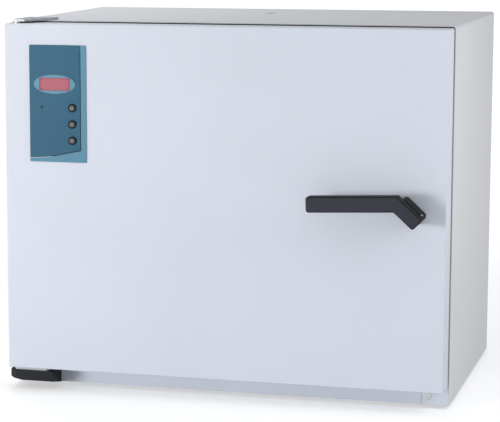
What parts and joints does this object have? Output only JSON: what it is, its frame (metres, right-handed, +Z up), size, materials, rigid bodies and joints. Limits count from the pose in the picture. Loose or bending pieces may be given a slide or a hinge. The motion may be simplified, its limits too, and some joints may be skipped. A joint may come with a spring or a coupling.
{
  "type": "drying cabinet",
  "caption": "Bench-top drying cabinet with a heated steel chamber, wire shelves, a side-hung door with a control fascia and a cranked latch lever.",
  "frame": {"origin": "on the bench under the middle of the whole object's box, with lever, door and gland", "axes": "+X to the right as seen from the front, +Y to the back, +Z up"},
  "size_m": [0.65, 0.5224, 0.547],
  "materials": {
    "casing_paint": "light grey powder coat, faint orange peel",
    "door_paint": "cool light grey powder coat, satin",
    "zinc_steel": "galvanised sheet",
    "stainless": "brushed stainless sheet",
    "bright_wire": "plated wire",
    "bright_screw": "bright plated steel",
    "hinge_steel": "plated steel plate",
    "spring_steel": "ground steel",
    "heater_sheath": "heat-tinted sheath",
    "bush_brass": "turned brass",
    "foot_rubber": "black rubber",
    "silicone": "pale silicone",
    "mineral_wool": "fibre mat",
    "black_plastic": "moulded, fine grain",
    "lever_black": "moulded, fine grain",
    "ring_black": "gloss black",
    "cap_grey": "satin grey",
    "fascia_blue": "printed polyester",
    "fascia_light": "printed polyester",
    "bezel_blue": "printed polyester",
    "window_red": "tinted acrylic",
    "cream_plastic": "moulded",
    "board_green": "solder mask",
    "lamp_green": "unlit lens"
  },
  "bodies": {
    "cabinet": {"casing_shell": "casing_paint", "base_plate": "zinc_steel", "rear_panel": "zinc_steel", "front_frame": "stainless", "lower_rail": "door_paint", "rail_end": "door_paint", "rail_screw": "bright_screw", "rear_screws": "bright_screw", "feet": "foot_rubber", "chamber_liner": "stainless", "floor_guard": "stainless", "shelf_rack_left": "stainless", "shelf_rack_right": "stainless", "shelf_lower": "bright_wire", "shelf_upper": "bright_wire", "insulation_wrap": "mineral_wool", "insulation_back": "mineral_wool", "insulation_tray": "zinc_steel", "vent_tube": "stainless", "heating_element": "heater_sheath", "heater_supports": "stainless", "temperature_probe": "stainless", "terminal_block": "cream_plastic", "power_relay": "black_plastic", "cable_gland": "black_plastic", "hinge_plate_top": "hinge_steel", "hinge_screws": "bright_screw", "hinge_bracket_bottom": "hinge_steel", "hinge_pins": "bright_screw", "hinge_cover": "black_plastic", "chamber_back_sheet": "stainless", "strike_box": "stainless", "catch_spring": "spring_steel"},
    "door": {"door_skin": "door_paint", "door_inner_panel": "stainless", "door_insulation": "mineral_wool", "door_gasket": "silicone", "door_panel_screws": "bright_screw", "hinge_bushes": "bush_brass", "spindle_sleeve": "bush_brass", "electronics_box": "zinc_steel", "fascia_plate": "fascia_blue", "fascia_trim": "fascia_light", "display_bezel": "bezel_blue", "display_window": "window_red", "display_module": "cream_plastic", "control_board": "board_green", "board_standoffs": "bush_brass", "switch_bodies": "black_plastic", "indicator_led": "lamp_green", "button_bezels": "ring_black"},
    "handle": {"handle_grip": "lever_black", "handle_hub": "lever_black", "handle_pin": "bright_screw", "latch_spindle": "spring_steel", "latch_hook": "spring_steel", "spindle_screw": "bright_screw"},
    "upper_button": {"button_top": "cap_grey"},
    "centre_button": {"button_middle": "cap_grey"},
    "lower_button": {"button_bottom": "cap_grey"}
  },
  "joints": [
    {"name": "door_hinge", "type": "hinge", "parent": "cabinet", "child": "door", "pos_m": [-0.31, -0.19675, 0.28725], "axis": [0, 0, -1], "range_deg": [0, 120], "deforming": ["catch_spring"]},
    {"name": "lever_turn", "type": "hinge", "parent": "door", "child": "handle", "pos_m": [0.276, -0.21475, 0.291], "axis": [0, 1, 0], "range_deg": [0, 60]},
    {"name": "upper_button_press", "type": "slide", "parent": "door", "child": "upper_button", "axis": [0, 1, 0], "range_m": [0, 0.001], "stiffness_N_per_m": 1000},
    {"name": "centre_button_press", "type": "slide", "parent": "door", "child": "centre_button", "axis": [0, 1, 0], "range_m": [0, 0.001], "stiffness_N_per_m": 1000},
    {"name": "lower_button_press", "type": "slide", "parent": "door", "child": "lower_button", "axis": [0, 1, 0], "range_m": [0, 0.001], "stiffness_N_per_m": 1000}
  ]
}
